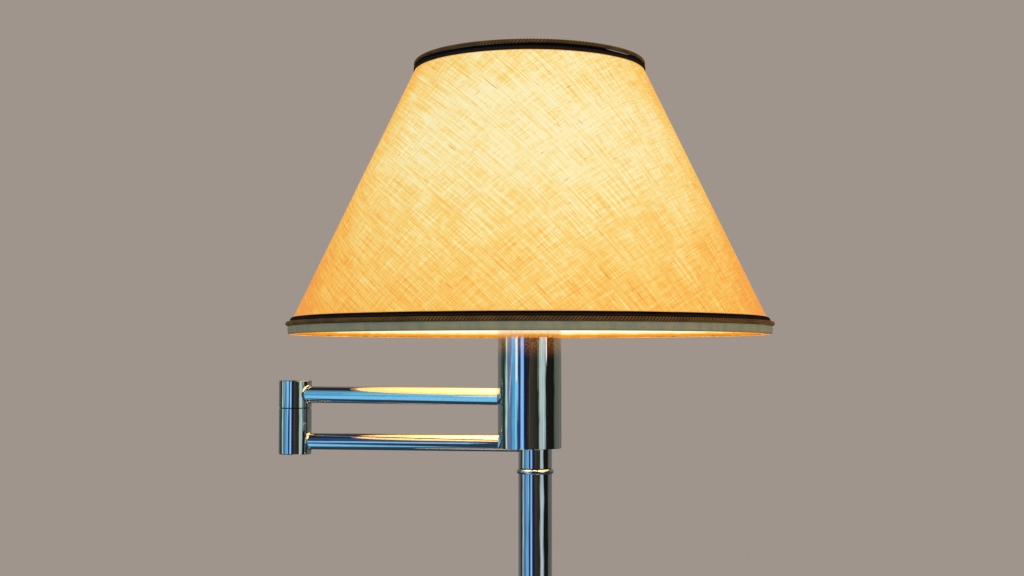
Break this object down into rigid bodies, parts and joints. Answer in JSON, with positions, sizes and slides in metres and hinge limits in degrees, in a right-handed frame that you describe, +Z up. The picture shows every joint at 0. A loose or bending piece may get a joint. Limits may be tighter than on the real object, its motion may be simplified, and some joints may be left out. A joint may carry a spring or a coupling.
{
  "type": "bridge floor lamp",
  "caption": "Reading lamp on a straight pole and round weighted base, with folding swing arms carrying a bulb under a coned linen shade.",
  "frame": {"origin": "on the floor, under the axis of the pole, at the centre of the base", "axes": "+Z up along the pole, -Y towards the side on which the folded head hangs, +X away from the elbow"},
  "size_m": [0.4074, 0.3898, 1.3533],
  "materials": {
    "chromed_metal": "bright polished chrome plate",
    "iron_weight": "rough as cast, hidden by the cover",
    "base_felt": "matt black foam pad",
    "bright_zinc": "plain zinc plate",
    "pale_nylon": "moulded, satin",
    "black_plastic": "moulded, satin black",
    "nickel_plate": "polished nickel plate",
    "bare_brass": "plain",
    "bulb_cap_metal": "plain",
    "frosted_glass": "frosted white, lit from inside",
    "linen": "linen laminated on a translucent sheet, lit from inside",
    "pale_hem": "pale grey-green woven hem",
    "dark_tape": "near-black woven tape",
    "gold_cord": "twisted gold-brown cord",
    "wire_cover": "ivory insulation"
  },
  "bodies": {
    "stand": {"base_pad": "base_felt", "base_weight": "iron_weight", "base_cover": "chromed_metal", "cord_inlet_bushing": "black_plastic", "base_washer": "bright_zinc", "base_nut": "bright_zinc", "base_rod": "bright_zinc", "pole_foot_plug": "bright_zinc", "pole_flange": "chromed_metal", "pole_tube": "chromed_metal", "pole_top_bush": "pale_nylon", "pole_low_bush": "pale_nylon", "collar_ring": "chromed_metal", "pole_wire": "wire_cover"},
    "lower_arm": {"swivel_sleeve": "chromed_metal", "sleeve_cap": "chromed_metal", "swivel_spindle": "bright_zinc", "swivel_stop_pin": "bright_zinc", "swivel_washer": "pale_nylon", "swivel_spring": "bright_zinc", "swivel_nut": "bright_zinc", "lower_arm_tube": "chromed_metal", "elbow_lower_barrel": "chromed_metal", "elbow_bottom_cap": "chromed_metal", "elbow_bush": "pale_nylon", "lower_arm_wire": "wire_cover"},
    "head": {"elbow_upper_barrel": "chromed_metal", "elbow_top_cap": "chromed_metal", "elbow_spindle": "bright_zinc", "elbow_stop_pin": "bright_zinc", "elbow_washer": "pale_nylon", "elbow_spring": "bright_zinc", "elbow_nut": "bright_zinc", "upper_arm_tube": "chromed_metal", "head_tube": "chromed_metal", "head_bottom_cap": "chromed_metal", "head_top_cap": "chromed_metal", "lamp_nipple": "bright_zinc", "nipple_nut": "bright_zinc", "harp_saddle": "bright_zinc", "harp_ferrules": "nickel_plate", "harp": "nickel_plate", "holder_cup": "nickel_plate", "holder_shell": "nickel_plate", "holder_insulator": "black_plastic", "centre_contact": "bare_brass", "screw_shell": "bare_brass", "bulb_base": "bulb_cap_metal", "bulb_glass": "frosted_glass", "shade_spider": "nickel_plate", "shade_bottom_ring": "nickel_plate", "finial": "chromed_metal", "shade_panel": "linen", "shade_hem": "pale_hem", "bottom_gold_cord": "gold_cord", "bottom_piping": "dark_tape", "top_dark_band": "dark_tape", "top_gold_cord": "gold_cord", "upper_arm_wire": "wire_cover"},
    "switch_key": {"switch_key": "black_plastic"}
  },
  "joints": [
    {"name": "pole_swivel", "type": "hinge", "parent": "stand", "child": "lower_arm", "pos_m": [0, 0, 1.025], "axis": [0, 0, 1], "range_deg": [-162, 162]},
    {"name": "elbow_swivel", "type": "hinge", "parent": "lower_arm", "child": "head", "pos_m": [-0.20582, 0.03629, 1.0739], "axis": [0, 0, -1], "range_deg": [-3, 329]},
    {"name": "switch_turn", "type": "hinge", "parent": "head", "child": "switch_key", "pos_m": [-0.00527, -0.08511, 1.1705], "axis": [0, -1, 0], "continuous": true}
  ]
}
